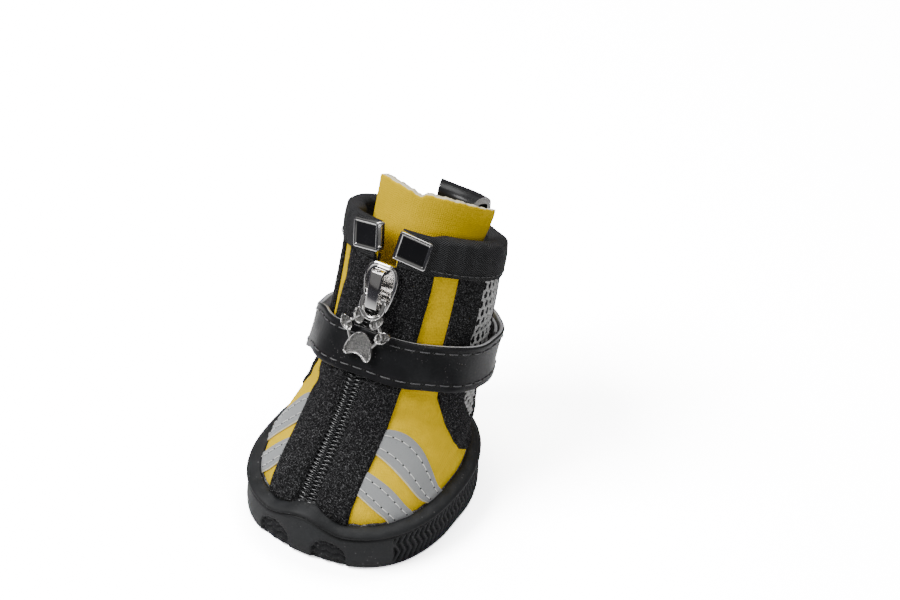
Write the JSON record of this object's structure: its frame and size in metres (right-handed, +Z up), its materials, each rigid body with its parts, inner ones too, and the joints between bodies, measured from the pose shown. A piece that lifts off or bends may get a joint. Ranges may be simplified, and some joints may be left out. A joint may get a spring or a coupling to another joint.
{
  "type": "dog boot",
  "caption": "Small dog boot with a ribbed rubber cup sole, hollow soft upper with front zip and paw pull, standing tongue, ankle strap, collar binding and rear pull loop.",
  "frame": {"origin": "middle of the boot's box, on the floor under the sole", "axes": "toe towards -Y, heel and pull loop towards +Y, +X is the boot's side to the right seen from the toe, +Z up"},
  "size_m": [0.0524, 0.0778, 0.0789],
  "materials": {
    "rubber": "matt black moulded rubber, fine grain",
    "lining": "brown brushed lining cloth",
    "yellow_knit": "bright yellow fine knit laminated on foam",
    "yellow_knit_tongue": "bright yellow fine knit on cream foam, cut edge",
    "zip_coil": "black nylon coil",
    "black_knit": "black loop knit, slightly fuzzy",
    "black_panel": "black loop knit panel",
    "silver_mesh": "silver grey open mesh",
    "reflective": "grey reflective tape with cream edge",
    "black_leather": "black coated leather, fine grain, grey cut edge",
    "strap_leather": "black coated leather strap, two stitch rows",
    "elastic_binding": "black herringbone elastic",
    "nickel": "nickel plated zinc, polished"
  },
  "bodies": {
    "boot": {"sole": "rubber", "insole": "lining", "upper": "yellow_knit", "tongue": "yellow_knit_tongue", "zip_chain": "zip_coil", "zip_band_left": "black_knit", "zip_band_right": "black_knit", "side_panel_left": "black_panel", "side_panel_right": "black_panel", "mesh_left": "silver_mesh", "mesh_right": "silver_mesh", "tape_rear_left": "reflective", "tape_front_left": "reflective", "tape_rear_right": "reflective", "tape_front_right": "reflective", "heel_stay": "black_leather", "collar_binding": "elastic_binding", "pull_loop": "black_leather", "clasp_left": "nickel", "clasp_right": "nickel", "ankle_strap": "strap_leather", "zip_slider": "nickel"},
    "pull": {"zip_pull": "nickel"}
  },
  "joints": [
    {"name": "zip_pull_hinge", "type": "hinge", "parent": "boot", "child": "pull", "pos_m": [-0.0012, -0.00625, 0.0565], "axis": [-1, 0, 0], "range_deg": [0, 120]}
  ]
}
